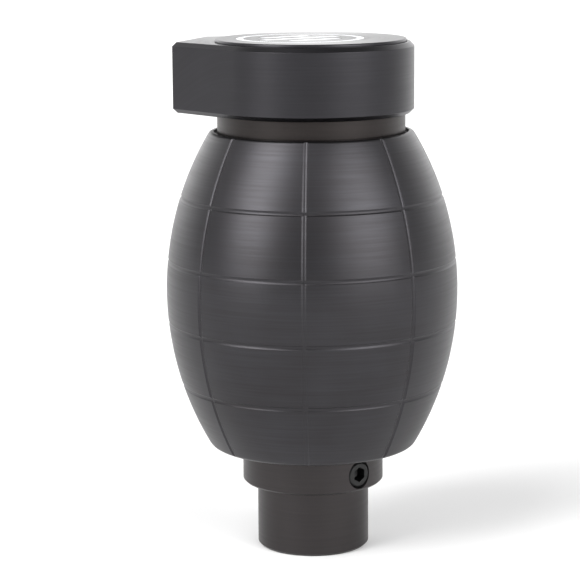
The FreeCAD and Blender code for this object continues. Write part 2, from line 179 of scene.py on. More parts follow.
@dataclass(frozen=True)
class Finish:
    """A surface finish: the record's slot and the shader's plain values."""

    name: str
    slot: str
    colour: str
    roughness: float
    metallic: float = 0.0

    def made(self) -> bpy.types.Material:
        """The finish's one material, made on its first use."""
        return bpy.data.materials.get(self.name) or self.build()

    def build(self) -> bpy.types.Material:
        """Make the material.

        Returns:
            The material, with its pattern linked to the shader.
        """
        material = bpy.data.materials.new(self.name)
        material.use_nodes = True
        tree = material.node_tree
        shader = tree.nodes["Principled BSDF"]
        shader.inputs["Base Color"].default_value = srgb(self.colour)
        shader.inputs["Roughness"].default_value = self.roughness
        shader.inputs["Metallic"].default_value = self.metallic
        self.pattern(tree, shader)
        return material

    def pattern(self, tree: Tree, shader: Node) -> None:
        """Link the finish's own pattern to the shader."""

    def grain(
        self,
        tree: Tree,
        size_mm: float,
        detail: float = 2.0,
    ) -> Socket:
        """Add an even noise in object space.

        Args:
            tree: The material's tree.
            size_mm: The size of one blotch.
            detail: How many finer octaves it has.

        Returns:
            The noise's value, from 0 to 1.
        """
        place = add_node(tree, "ShaderNodeTexCoord")
        noise = add_node(
            tree,
            "ShaderNodeTexNoise",
            {"Vector": place.outputs["Object"], "Scale": 1 / (size_mm * MM), "Detail": detail},
        )
        return noise.outputs["Fac"]

    def blur(
        self,
        tree: Tree,
        shader: Node,
        share: Socket,
        spread: float,
    ) -> None:
        """Let the roughness swing about its own value.

        Args:
            tree: The material's tree.
            shader: The shader whose roughness is linked.
            share: A pattern's value from 0 to 1.
            spread: How far it swings to each side.
        """
        span = {"To Min": self.roughness - spread, "To Max": self.roughness + spread}
        rough = add_node(tree, "ShaderNodeMapRange", {"Value": share, **span})
        tree.links.new(rough.outputs[0], shader.inputs["Roughness"])

    def relief(
        self,
        tree: Tree,
        shader: Node,
        height: Socket,
        depth_mm: float,
    ) -> None:
        """Bump the surface by a height from 0 to 1.

        Args:
            tree: The material's tree.
            shader: The shader whose normal is bumped.
            height: The height's socket.
            depth_mm: The real depth from the lowest to the highest.
        """
        bump = add_node(
            tree,
            "ShaderNodeBump",
            {"Height": height, "Distance": depth_mm * MM, "Strength": 1.0},
        )
        tree.links.new(bump.outputs[0], shader.inputs["Normal"])


@dataclass(frozen=True)
class Anodised(Finish):
    """Black anodised aluminium as it leaves the lathe, dyed and sealed, not polished.

    The dyed oxide is nearly black head on and turns pale at grazing angles. The tool marks
    under it run round the turning axis, so a lamp's reflection is drawn out along the axis.
    """

    tint: str = "2e2c2e"
    line_pitch_mm: float = 0.35
    line_depth_mm: float = 0.009
    line_length_mm: float = 16.0
    mark_share: float = 0.8
    blotch_mm: float = 9.0
    blotch_share: float = 0.6
    spread: float = 0.06
    anisotropy: float = 0.5
    seal: float = 0.3
    axis: Axis = UPRIGHT

    def tool_marks(self, tree: Tree) -> Socket:
        """Add the tool marks: a noise drawn out round the turning axis.

        Args:
            tree: The material's tree.

        Returns:
            The marks' height, from 0 to 1.
        """
        coordinates = add_node(tree, "ShaderNodeTexCoord")
        place = add_node(
            tree,
            "ShaderNodeMapping",
            {
                "Vector": coordinates.outputs["Object"],
                "Location": (0.0, 0.0, self.axis.height * MM),
                "Rotation": self.axis.tilt(),
            },
            vector_type="TEXTURE",
        )
        parts = add_node(tree, "ShaderNodeSeparateXYZ", {0: place})
        run = add_node(tree, "ShaderNodeAttribute", attribute_name="turning").outputs["Fac"]
        across = 1 / (self.line_length_mm * MM)
        line = add_node(
            tree,
            "ShaderNodeCombineXYZ",
            {
                0: formula(tree, "MULTIPLY", parts.outputs[0], across),
                1: formula(tree, "MULTIPLY", parts.outputs[1], across),
                2: formula(tree, "MULTIPLY", run, 1 / (self.line_pitch_mm * MM)),
            },
        )
        noise = add_node(tree, "ShaderNodeTexNoise", {"Vector": line, "Scale": 1.0, "Detail": 3.0})
        return noise.outputs["Fac"]

    def pattern(self, tree: Tree, shader: Node) -> None:
        """Link dye, tool marks and sheen to the shader.

        Args:
            tree: The material's tree.
            shader: The shader to link to.
        """
        marks = self.tool_marks(tree)
        blotch = formula(
            tree, "MULTIPLY", self.grain(tree, self.blotch_mm, 1.0), self.blotch_share
        )
        share = formula(tree, "MULTIPLY_ADD", marks, self.mark_share, blotch)
        dye = add_node(
            tree,
            "ShaderNodeMix",
            {"Factor": share, "A": srgb(self.colour), "B": srgb(self.tint)},
            data_type="RGBA",
        )
        tree.links.new(dye.outputs["Result"], shader.inputs["Base Color"])
        self.blur(tree, shader, marks, self.spread)
        shader.inputs["Anisotropic"].default_value = self.anisotropy
        shader.inputs["Coat Weight"].default_value = self.seal
        shader.inputs["Coat Roughness"].default_value = self.roughness
        tangent = add_node(tree, "ShaderNodeTangent", direction_type="RADIAL", axis="Z")
        tree.links.new(tangent.outputs[0], shader.inputs["Tangent"])
        self.relief(tree, shader, marks, self.line_depth_mm)


@dataclass(frozen=True)
class Steel(Finish):
    """Ground or drawn steel, bright or black oxide, with a fine even grain."""

    grain_mm: float = 0.4
    grain_depth_mm: float = 0.003
    spread: float = 0.08

    def pattern(self, tree: Tree, shader: Node) -> None:
        """Link the grain to the roughness and the relief.

        Args:
            tree: The material's tree.
            shader: The shader to link to.
        """
        grain = self.grain(tree, self.grain_mm, detail=3.0)
        self.blur(tree, shader, grain, self.spread)
        self.relief(tree, shader, grain, self.grain_depth_mm)


@dataclass(frozen=True)
class Moulded(Finish):
    """Moulded nylon or rubber, or rubbed enamel: a soft mottle with a fine skin."""

    shade: str = "c8c4b8"
    mottle_mm: float = 3.0
    skin_mm: float = 0.15
    skin_depth_mm: float = 0.004
    depth: float = 0.0
    scatter_mm: float = 1.0

    def pattern(self, tree: Tree, shader: Node) -> None:
        """Link the mottle and the skin.

        Args:
            tree: The material's tree.
            shader: The shader to link to.
        """
        mottle = add_node(
            tree,
            "ShaderNodeMix",
            {
                "Factor": self.grain(tree, self.mottle_mm),
                "A": srgb(self.colour),
                "B": srgb(self.shade),
            },
            data_type="RGBA",
        )
        tree.links.new(mottle.outputs["Result"], shader.inputs["Base Color"])
        shader.inputs["Subsurface Weight"].default_value = self.depth
        shader.inputs["Subsurface Scale"].default_value = self.scatter_mm * MM
        self.relief(tree, shader, self.grain(tree, self.skin_mm), self.skin_depth_mm)


# Dyed black after turning: satin, with fine level lines and a soft streak under each lamp.
BARREL_FINISH = Anodised("barrel_black_anodised", "barrel_anodised", "3c3c40", 0.38, 1.0)
# The same dye on the milled and faced head and disc, a shade more neutral.
HEAD_FINISH = Anodised(
    "head_black_anodised", "fittings_anodised", "363539", 0.36, 1.0, tint="2b2a2d",
)
# The neck and boss took the dye a little warmer than the barrel.
SOCKET_FINISH = Anodised(
    "socket_black_anodised", "fittings_anodised", "3b3738", 0.4, 1.0, tint="312e2e",
)
# The collar is dyed browner, with coarser turning lines, and its colour is made darker still as
# painted shade under the head's overhang.
COLLAR_TONE_AND_SHADE_FINISH = Anodised(
    "collar_anodised_painted_shade", "fittings_anodised", "312c2b", 0.42, 1.0, tint="262221",
    line_pitch_mm=0.45, line_depth_mm=0.014,
)
# The button and its bezel are turned about their own level axis.
BUTTON_FINISH = Anodised(
    "button_black_anodised", "button_anodised", "3c3c40", 0.34, 1.0, axis=BUTTON_AXIS,
)
BEZEL_FINISH = Anodised(
    "bezel_black_anodised", "fittings_anodised", "3a393b", 0.36, 1.0, tint="2f2e2f",
    axis=BUTTON_AXIS,
)
# Baked enamel rubbed flat with the disc: clean white with a faint silky unevenness.
INLAY_FINISH = Moulded("white_enamel", "inlay_enamel", "e9eaed", 0.35, shade="dcdee4")
# Heat-blackened screw steel: darker than the dye, with a slight oily gleam on its edges.
OXIDE_FINISH = Steel("black_oxide_steel", "black_oxide_steel", "565454", 0.36, 1.0)
# Ground silver steel: bright and cool, with a fine blur.
STEEL_FINISH = Steel("ground_steel", "bright_steel", "bdbdbb", 0.28, 1.0)
# Hard drawn wire: a little greyer than the ground pins.
WIRE_FINISH = Steel("drawn_spring_wire", "spring_steel", "a9aaad", 0.32, 1.0)
# Pressed and oiled bronze powder: brown gold, visibly granular.
BRONZE_FINISH = Steel("sintered_bronze", "bronze", "b08a55", 0.42, 1.0, grain_depth_mm=0.01)
# Unpigmented nylon: milky, with light sinking a little way in.
NYLON_FINISH = Moulded("natural_nylon", "nylon", "e4dfd0", 0.45, depth=0.2)
# Moulded nitrile: flat black, no gleam.
RUBBER_FINISH = Moulded("nitrile_rubber", "seal_rubber", "1c1c1d", 0.6, shade="242424")
# Matt backdrop paper: nearly white, without gleam or grain.
PAPER_FINISH = Moulded(
    "pale_paper", "", "f7f7f7", 0.9, shade="f5f5f5", mottle_mm=120.0, skin_depth_mm=0.0,
)


def new_object(name: str, mesh: bpy.types.Mesh) -> Piece:
    """Link a mesh into the scene as a piece.

    Args:
        name: The piece's name.
        mesh: Its mesh, already in place.

    Returns:
        The object, at the origin.
    """
    piece = bpy.data.objects.new(name, mesh)
    bpy.context.scene.collection.objects.link(piece)
    return piece


def from_work(name: str, work: EditMesh, place: Matrix = STILL) -> Piece:
    """Close an edit mesh and link it into the scene as a piece.

    Args:
        name: The piece's name.
        work: The mesh being built, which is freed.
        place: Where the mesh is carried to.

    Returns:
        The object, at the origin.
    """
    mesh = bpy.data.meshes.new(name)
    work.to_mesh(mesh)
    work.free()
    mesh.transform(place)
    return new_object(name, mesh)


def settle(piece: Piece) -> Piece:
    """Turn a piece's modifiers into its plain mesh.

    Args:
        piece: The object with live modifiers.

    Returns:
        The same object, with the result as its mesh and no modifiers.
    """
    bpy.context.view_layer.update()
    seen = piece.evaluated_get(bpy.context.evaluated_depsgraph_get())
    mesh = bpy.data.meshes.new_from_object(seen)
    mesh.name = piece.name
    piece.modifiers.clear()
    piece.data = mesh
    return piece


def dress(piece: Piece, finish: Finish, body: str, *nodes: str) -> Piece:
    """Give a finished piece its material and its body, and hide the nodes that it stands for.

    Args:
        piece: The piece, with its final mesh.
        finish: Its surface finish.
        body: The body that it rides on.
        nodes: The frame's nodes that it replaces.

    Returns:
        The piece.
    """
    piece.data.materials.clear()
    piece.data.materials.append(finish.made())
    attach(piece, body)
    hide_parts(*nodes)
    LOG.info("%s: %d faces on %s", piece.name, len(piece.data.polygons), body)
    return piece


def polar(radius: float, degrees: float, height: float) -> Vector:
    """A point at a radius, an angle about +Z and a height, in the given units."""
    turn = math.radians(degrees)
    return Vector((radius * math.cos(turn), radius * math.sin(turn), height))


def corner_arc(
    before: Pair,
    corner: Pair,
    after: Pair,
    radius: float,
    steps: int = 3,
) -> Outline:
    """Round one corner of an outline.

    Args:
        before: The outline's point before the corner.
        corner: The sharp corner.
        after: The point after it.
        radius: The arc's radius, in the outline's units.
        steps: How many pieces the arc is drawn in.

    Returns:
        The arc's points, from the first touch to the second.
    """
    here = Vector(corner)
    back = (Vector(before) - here).normalized()
    ahead = (Vector(after) - here).normalized()
    half = back.angle(ahead) / 2
    middle = here + (back + ahead).normalized() * (radius / math.sin(half))
    start = here + back * (radius / math.tan(half)) - middle
    finish = here + ahead * (radius / math.tan(half)) - middle
    points = []
    for step in range(steps + 1):
        spoke = start.slerp(finish, step / steps)
        points.append(tuple(middle + spoke.normalized() * radius))
    return points


def rounded(corners: list[tuple[float, float, float]]) -> Outline:
    """Round the corners of a closed outline.

    Args:
        corners: Each corner's radius, height and rounding, anticlockwise.

    Returns:
        The outline's points.
    """
    points = []
    for place, (radius, height, rounding) in enumerate(corners):
        if rounding == 0:
            points.append((radius, height))
            continue
        before = corners[place - 1][:2]
        after = corners[(place + 1) % len(corners)][:2]
        points += corner_arc(before, (radius, height), after, rounding)
    return points


def skin(work: EditMesh, loops: list[list[bmesh.types.BMVert]]) -> None:
    """Join each loop of vertices to the next with faces.

    Args:
        work: The mesh being built.
        loops: Loops of one length, or of one vertex for a pole.
    """
    for low, high in zip(loops, loops[1:]):
        for place in range(max(len(low), len(high))):
            corners = [
                low[place % len(low)],
                low[(place + 1) % len(low)],
                high[(place + 1) % len(high)],
                high[place % len(high)],
            ]
            corners = list(dict.fromkeys(corners))
            if len(corners) > 2:
                work.faces.new(corners)


def revolve(
    name: str,
    outline: Outline,
    axis: Axis = UPRIGHT,
    segments: int = 144,
) -> Piece:
    """Turn an outline about an axis.

    Args:
        name: The new piece's name.
        outline: Points of (radius, height) in millimetres, anticlockwise. An outline whose
            ends lie on the axis makes a full body, and any other closes into a tube.
        axis: The axis that the body is carried to.
        segments: How many steps make a full turn.

    Returns:
        The turned piece.
    """
    work = bmesh.new()
    loops = []
    for radius, height in outline:
        count = 1 if radius == 0 else segments
        spots = [polar(radius * MM, 360 * n / segments, height * MM) for n in range(count)]
        loops.append([work.verts.new(spot) for spot in spots])
    if len(loops[0]) > 1:
        loops.append(loops[0])
    skin(work, loops)
    return from_work(name, work, axis.matrix())


def rod(radius: float, low: float, high: float, axis: Axis = UPRIGHT) -> Piece:
    """A plain round cutting tool along an axis, between two distances in millimetres."""
    return revolve("cutter", [(0, low), (radius, low), (radius, high), (0, high)],
                   axis, TOOL_SEGMENTS)


def brick(
    size: tuple[float, float, float], middle: tuple[float, float, float], degrees: float
) -> Piece:
    """Make a plain box, then turn it about +Z.

    Args:
        size: Its size along X, Y and Z, in millimetres.
        middle: Its middle before the turn, in millimetres.
        degrees: The turn.

    Returns:
        The box.
    """
    work = bmesh.new()
    bmesh.ops.create_cube(work, size=1.0)
    place = Matrix.LocRotScale(Vector(middle) * MM, None, Vector(size) * MM)
    return from_work("brick", work, Matrix.Rotation(math.radians(degrees), 4, "Z") @ place)


def cut(piece: Piece, cutters: list[Piece]) -> Piece:
    """Cut tools out of a piece and throw the tools away.

    Args:
        piece: The closed piece.
        cutters: The closed tools.

    Returns:
        The piece.
    """
    for cutter in cutters:
        bite = piece.modifiers.new("bite", "BOOLEAN")
        bite.operation = "DIFFERENCE"
        bite.solver = "EXACT"
        bite.object = cutter
    settle(piece)
    for cutter in cutters:
        bpy.data.objects.remove(cutter)
    return piece


def polish(
    piece: Piece, edge_mm: float = 0.0, axis: Axis = UPRIGHT
) -> Piece:
    """Merge doubles, smooth the shading, break the edges and mark the turned distance.

    Args:
        piece: The closed piece.
        edge_mm: The width of the broken edges, or 0 to leave them.
        axis: The axis that the tool marks run round.

    Returns:
        The piece, with its distance out and along the axis in the attribute "turning".
    """
    mesh = piece.data
    work = bmesh.new()
    work.from_mesh(mesh)
    bmesh.ops.remove_doubles(work, verts=work.verts, dist=MERGE_DISTANCE)
    bmesh.ops.recalc_face_normals(work, faces=work.faces)
    for face in work.faces:
        face.smooth = True
    for edge in work.edges:
        edge.smooth = len(edge.link_faces) != 2 or edge.calc_face_angle() < SHARP_ANGLE
    work.to_mesh(mesh)
    work.free()
    if edge_mm:
        bevel = piece.modifiers.new("edge_break", "BEVEL")
        bevel.width = edge_mm * MM
        bevel.segments = EDGE_STEPS
        bevel.limit_method = "ANGLE"
        bevel.angle_limit = SHARP_ANGLE
        bevel.use_clamp_overlap = True
    weigh = piece.modifiers.new("even_shading", "WEIGHTED_NORMAL")
    weigh.keep_sharp = not edge_mm
    settle(piece)
    own = axis.matrix().inverted()
    spots = [own @ corner.co for corner in piece.data.vertices]
    runs = [spot.z + math.hypot(spot.x, spot.y) for spot in spots]
    marks = piece.data.attributes.get("turning")
    marks = marks or piece.data.attributes.new("turning", "FLOAT", "POINT")
    marks.data.foreach_set("value", runs)
    return piece


@dataclass
class Barrel:
    """The bulging grip: one arc from foot to lip, cut into panels by grooves."""

    foot: float = 20.0
    top: float = 80.0
    arc_radius: float = 58.2
    waist: float = 49.7
    bore: float = 11.05
    lip_bore: float = 18.3
    lip_depth: float = 2.0
    foot_round: float = 1.4
    lip_round: float = 0.9
    burr: float = 0.12
    groove_half_width: float = 0.465
    groove_depth: float = 0.19
    first_ring: float = 32.0
    ring_pitch: float = 11.9
    rings: int = 4
    meridians: int = 8
    first_meridian: float = -93.1
    groove_columns: int = 12
    panel_columns: int = 14
    panel_rows: int = 7
    round_steps: int = 5
    bore_rows: int = 4
    radius: float = field(init=False)

    def __post_init__(self) -> None:
        """Take the waist's radius from the frame, so that the piece stays inside it."""
        low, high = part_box("barrel")
        self.radius = min(high.x, high.y, -low.x, -low.y) / MM

    def centre(self) -> float:
        """The radius at which the flank's arc has its centre."""
        return self.radius - self.arc_radius

    def on_arc(self, angle: float, depth: float = 0.0) -> Pair:
        """The flank's point at an angle above the waist, some depth inside the arc."""
        reach = self.arc_radius - depth
        return (self.centre() + reach * math.cos(angle), self.waist + reach * math.sin(angle))

    def arc_angle(self, height: float) -> float:
        """The angle above the waist at which the arc passes a height."""
        return math.asin((height - self.waist) / self.arc_radius)

    def flank(self) -> Outline:
        """Draw the flank from foot to lip, with a groove at each ring.

        Returns:
            The points as (radius, height).
        """
        half = self.groove_half_width / self.arc_radius
        heights = [self.first_ring + self.ring_pitch * n for n in range(self.rings)]
        stops = [self.arc_angle(height) for height in heights]
        starts = [self.arc_angle(self.foot)] + [stop + half for stop in stops]
        ends = [stop - half for stop in stops] + [self.arc_angle(self.top)]
        points = []
        for panel, (start, end) in enumerate(zip(starts, ends)):
            for row in range(self.panel_rows + 1):
                points.append(self.on_arc(start + (end - start) * row / self.panel_rows))
            if panel == self.rings:
                break
            for row in range(1, self.groove_columns):
                share = -math.cos(math.pi * row / self.groove_columns)
                depth = self.groove_depth * (1 - share ** 2)
                points.append(self.on_arc(stops[panel] + share * half, depth))
        return points

    def profile(self) -> Outline:
        """Draw the whole closed profile, starting inside the bore.

        Returns:
            The points as (radius, height), anticlockwise, so that faces point outwards.
        """
        steps = self.round_steps
        flank = self.flank()
        floor = self.top - self.lip_depth
        foot_arc = corner_arc((self.bore, self.foot), flank[0], flank[1], self.foot_round, steps)
        rim = (self.lip_bore, self.top)
        lip_arc = corner_arc(flank[-2], flank[-1], rim, self.lip_round, steps)
        inner_arc = corner_arc((self.radius, self.top), rim, (self.lip_bore, floor), self.burr)
        lowest = foot_arc[-1][1]
        highest = lip_arc[0][1]
        side = [point for point in flank if lowest < point[1] < highest]
        inside = [(self.lip_bore, floor), (self.bore, floor)]
        rows = range(1, self.bore_rows + 1)
        rise = (self.foot - floor) / self.bore_rows
        bore = [(self.bore, floor + rise * row) for row in rows]
        return foot_arc + side + lip_arc + inner_arc + inside + bore

    def profile_mesh(self) -> bpy.types.Mesh:
        """Store the profile as a line of vertices that know their distance along it.

        Returns:
            A mesh of loose vertices in the XZ plane.
        """
        points = self.profile()
        mesh = bpy.data.meshes.new("barrel_profile")
        mesh.from_pydata([(r * MM, 0.0, z * MM) for r, z in points], [], [])
        run = [0.0]
        for here, there in zip(points, points[1:]):
            run.append(run[-1] + math.dist(here, there) * MM)
        mesh.attributes.new("turning", "FLOAT", "POINT").data.foreach_set("value", run)
        return mesh

    def tree(self) -> Tree:
        """Build the tree that turns the profile and cuts the meridian grooves.

        Returns:
            The Geometry Nodes tree.
        """
        tree = bpy.data.node_groups.new("turn_and_groove", "GeometryNodeTree")
        node, calc = partial(add_node, tree), partial(formula, tree)
        sockets = {
            "Geometry": ("Profile",),
            "Float": ("Arc Radius", "Arc Centre Radius", "Waist Height", "Groove Half Width",
                      "Groove Depth", "First Meridian"),
            "Int": ("Meridians", "Groove Columns", "Panel Columns"),
            "Material": ("Finish",),
        }
        tree.interface.new_socket(
            "Geometry", in_out="OUTPUT", socket_type="NodeSocketGeometry"
        )
        for kind, names in sockets.items():
            for name in names:
                tree.interface.new_socket(
                    name, in_out="INPUT", socket_type="NodeSocket" + kind
                )
        given = node("NodeGroupInput").outputs
        profile, groove_columns = given["Profile"], given["Groove Columns"]
        arc, hub_r, waist = (
            given[name] for name in ("Arc Radius", "Arc Centre Radius", "Waist Height")
        )

        # A grid with one row for each point of the profile, and a last one for its first point.
        rows = node("GeometryNodeAttributeDomainSize", {0: profile}).outputs["Point Count"]
        sector = calc("ADD", groove_columns, given["Panel Columns"])
        columns = calc("MULTIPLY", sector, given["Meridians"])
        corners = {
            "Vertices X": calc("ADD", columns, 1.0), "Vertices Y": calc("ADD", rows, 1.0)
        }
        grid = node("GeometryNodeMeshGrid", {"Size X": 1.0, "Size Y": 1.0, **corners})
        spot = node("ShaderNodeSeparateXYZ", {0: node("GeometryNodeInputPosition")})
        column, row = (
            calc("ROUND", calc("MULTIPLY", calc("ADD", spot.outputs[place], 0.5), count))
            for place, count in enumerate((columns, rows))
        )
        here = {"Geometry": profile, "Index": calc("MODULO", row, rows)}
        sample = partial(node, "GeometryNodeSampleIndex")
        spot = node("GeometryNodeInputPosition")
        point = sample({"Value": spot, **here}, data_type="FLOAT_VECTOR")
        run = node("GeometryNodeInputNamedAttribute", {"Name": "turning"}, data_type="FLOAT")
        run = sample({"Value": run, **here}, data_type="FLOAT")

        # The spoke from the arc's centre to the profile's point.
        vector = partial(node, "ShaderNodeVectorMath")
        hub = node("ShaderNodeCombineXYZ", {0: hub_r, 1: 0.0, 2: waist})
        spoke = vector({0: point, 1: hub}, operation="SUBTRACT")
        reach = vector({0: spoke}, operation="LENGTH").outputs["Value"]
        unit = vector({0: spoke}, operation="NORMALIZE")
        out, _, up = node("ShaderNodeSeparateXYZ", {0: unit}).outputs

        # The turn about the axis: close columns across a groove, then wide ones to the next.
        half = calc("DIVIDE", given["Groove Half Width"], calc("MULTIPLY_ADD", out, arc, hub_r))
        place = calc("MODULO", column, sector)
        swing = calc("MULTIPLY", calc("DIVIDE", place, groove_columns), math.pi)
        share = calc("MULTIPLY", calc("COSINE", swing), -1.0)
        pitch = calc("DIVIDE", math.tau, given["Meridians"])
        panel = calc("SUBTRACT", pitch, calc("MULTIPLY", half, 2.0))
        past = calc("DIVIDE", calc("SUBTRACT", place, groove_columns), given["Panel Columns"])
        is_panel = calc("GREATER_THAN", place, groove_columns)
        turns = {"A": calc("MULTIPLY", share, half), "B": calc("MULTIPLY_ADD", panel, past, half)}
        turn = node("ShaderNodeMix", {"Factor": is_panel, **turns}).outputs["Result"]
        number = calc("FLOOR", calc("DIVIDE", column, sector))
        angle = calc("MULTIPLY_ADD", number, pitch, turn)
        angle = calc("ADD", angle, given["First Meridian"])

        # The groove's floor, which only ever takes metal away.
        shape = calc("MAXIMUM", calc("SUBTRACT", 1.0, calc("MULTIPLY", share, share)), 0.0)
        cut = calc("MULTIPLY", shape, given["Groove Depth"])
        cut = calc("MULTIPLY", cut, calc("SUBTRACT", 1.0, is_panel))
        reach = calc("MINIMUM", reach, calc("SUBTRACT", arc, cut))
        radius = calc("MULTIPLY_ADD", out, reach, hub_r)
        target = node(
            "ShaderNodeCombineXYZ",
            {
                0: calc("MULTIPLY", radius, calc("COSINE", angle)),
                1: calc("MULTIPLY", radius, calc("SINE", angle)),
                2: calc("MULTIPLY_ADD", up, reach, waist),
            },
        )

        marked = {"Geometry": grid.outputs["Mesh"], "Name": "turning", "Value": run}
        body = node("GeometryNodeStoreNamedAttribute", marked, data_type="FLOAT")
        for kind, inputs in (
            ("SetPosition", {"Position": target}),
            ("MergeByDistance", {"Distance": MERGE_DISTANCE}),
            ("SetShadeSmooth", {}),
            ("RealizeInstances", {}),
            ("SetMaterial", {"Material": given["Finish"]}),
        ):
            body = node("GeometryNode" + kind, {"Geometry": body, **inputs})
        node("NodeGroupOutput", {0: body})
        return tree

    def build(self) -> Piece:
        """Turn the barrel and dress it.

        Returns:
            The finished barrel.
        """
        piece = new_object("barrel_finished", self.profile_mesh())
        tree = self.tree()
        sizes = {
            "Arc Radius": self.arc_radius * MM,
            "Arc Centre Radius": self.centre() * MM,
            "Waist Height": self.waist * MM,
            "Groove Half Width": self.groove_half_width * MM,
            "Groove Depth": self.groove_depth * MM,
            "First Meridian": math.radians(self.first_meridian),
            "Meridians": self.meridians,
            "Groove Columns": self.groove_columns,
            "Panel Columns": self.panel_columns,
            "Finish": BARREL_FINISH.made(),
        }
        grow(piece, tree, sizes)
        weigh = piece.modifiers.new("even_shading", "WEIGHTED_NORMAL")
        weigh.keep_sharp = False
        settle(piece)
        return dress(piece, BARREL_FINISH, "knob", "barrel")


def grow(piece: Piece, tree: Tree, sizes: dict[str, object]) -> None:
    """Put a Geometry Nodes tree on a piece and set its named inputs.

    Args:
        piece: The object that holds the tree's input.
        tree: The tree.
        sizes: A value for each named input.
    """
    modifier = piece.modifiers.new(tree.name, "NODES")
    modifier.node_group = tree
    for item in tree.interface.items_tree:
        if item.in_out == "INPUT" and item.name in sizes:
            modifier[item.identifier] = sizes[item.name]


@dataclass
class LeverMount:
    """The core tube with its neck and boss, the slit sleeve inside and the two set screws."""

    neck_radius: float = 10.65
    neck_top: float = 12.7
    neck_chamfer: float = 0.5
    boss_radius: float = 13.45
    boss_chamfer: float = 0.4
    boss_top: float = 20.0
    stem_radius: float = 11.0
    stem_top: float = 83.4
    bush_bore: Pair = (5.0, 79.9)
    spring_bore: Pair = (4.2, 60.0)
    guide_bore: float = 4.0
    sleeve_bore: Pair = (7.5, 54.0)
    edge: float = 0.1
    hole_radius: float = 2.5
    mouth_radius: float = 2.72
    mouth_depth: float = 0.35
    hole_reach: float = 1.8
    run_out: float = 1.0
    screw_height: float = 15.9
    screw_radius: float = 2.45
    screw_face: float = 13.35
    screw_length: float = 5.0
    screw_chamfer: float = 0.35
    hex_width: float = 2.5
    hex_depth: float = 2.0
    cup_radius: float = 1.2
    cup_depth: float = 0.5
    screw_edge: float = 0.06
    sleeve_radius: float = 7.45
    lever_radius: float = 6.0
    sleeve_length: float = 44.0
    sleeve_chamfer: float = 0.3
    slit_width: float = 1.2
    slit_angle: float = 176.0
    slit_edge: float = 0.08

    def socket(self) -> Piece:
        """Turn the core tube and drill its two screw holes.

        Returns:
            The finished core tube.
        """
        bush_r, bush_z = self.bush_bore
        spring_r, spring_z = self.spring_bore
        sleeve_r, sleeve_z = self.sleeve_bore
        edge = self.edge
        neck, foot = self.neck_radius, self.neck_chamfer
        boss, rim = self.boss_radius, self.boss_chamfer
        outline = rounded([
            (sleeve_r, 0.0, 2 * edge),
            (neck - foot, 0.0, edge),
            (neck, foot, edge),
            (neck, self.neck_top, 0.0),
            (boss - rim, self.neck_top, edge),
            (boss, self.neck_top + rim, edge),
            (boss, self.boss_top, edge),
            (self.stem_radius, self.boss_top, 0.0),
            (self.stem_radius, self.stem_top, edge),
            (bush_r, self.stem_top, edge),
            (bush_r, bush_z, 0.0),
            (spring_r, bush_z, 0.0),
            (spring_r, spring_z, 0.0),
            (self.guide_bore, spring_z, 0.0),
            (self.guide_bore, sleeve_z, 0.0),
            (sleeve_r, sleeve_z, 0.0),
        ])
        piece = revolve("lever_socket_finished", outline)
        hole, mouth, out = self.hole_radius, self.mouth_radius, boss + self.run_out
        flare = mouth + (mouth - hole) * self.run_out / self.mouth_depth
        drill = [
            (0.0, self.hole_reach),
            (hole, self.hole_reach),
            (hole, boss - self.mouth_depth),
            (flare, out),
            (0.0, out),
        ]
        drills = [
            revolve("cutter", drill, Axis(self.screw_height, side.value), TOOL_SEGMENTS)
            for side in ScrewSide
        ]
        polish(cut(piece, drills))
        return dress(piece, SOCKET_FINISH, "knob", "lever_socket")

    def set_screw(self, side: ScrewSide) -> Piece:
        """Turn one cup point set screw and cut its hex socket.

        Args:
            side: Which of the two.

        Returns:
            The finished screw.
        """
        axis = Axis(self.screw_height, side.value)
        back = self.screw_face - self.screw_length
        slope = self.screw_chamfer
        outline = [
            (0.0, back + self.cup_depth),
            (self.cup_radius, back),
            (self.screw_radius - slope, back),
            (self.screw_radius, back + slope),
            (self.screw_radius, self.screw_face - slope),
            (self.screw_radius - slope, self.screw_face),
            (0.0, self.screw_face),
        ]
        name = "set_screw_" + side.name.lower()
        piece = revolve(name + "_finished", outline, axis, FINE_SEGMENTS)
        across = self.hex_width / math.sqrt(3)
        depth = self.screw_face - self.hex_depth
        socket = [
            (0.0, depth - self.cup_depth),
            (across, depth),
            (across, self.screw_face + self.run_out),
            (0.0, self.screw_face + self.run_out),
        ]
        polish(cut(piece, [revolve("cutter", socket, axis, 6)]), self.screw_edge, axis)
        return dress(piece, OXIDE_FINISH, side.name.lower() + "_screw", name)

    def sleeve(self) -> Piece:
        """Mould the slit sleeve that the screws squeeze on the lever.

        Returns:
            The finished sleeve.
        """
        slope = self.sleeve_chamfer
        outer, inner, length = self.sleeve_radius, self.lever_radius, self.sleeve_length
        outline = [
            (inner + slope, 0.0),
            (outer - slope, 0.0),
            (outer, slope),
            (outer, length - slope),
            (outer - slope, length),
            (inner + slope, length),
            (inner, length - slope),
            (inner, slope),
        ]
        piece = revolve("lever_sleeve_finished", outline, segments=FINE_SEGMENTS)
        size = (outer - inner + 2 * self.run_out, self.slit_width, length + 2 * self.run_out)
        slit = brick(size, ((outer + inner) / 2, 0.0, length / 2), self.slit_angle)
        polish(cut(piece, [slit]), self.slit_edge)
        return dress(piece, NYLON_FINISH, "knob", "lever_sleeve")

    def build(self) -> None:
        """Make and dress the tube, the sleeve and both screws."""
        self.socket()
        self.sleeve()
        for side in ScrewSide:
            self.set_screw(side)


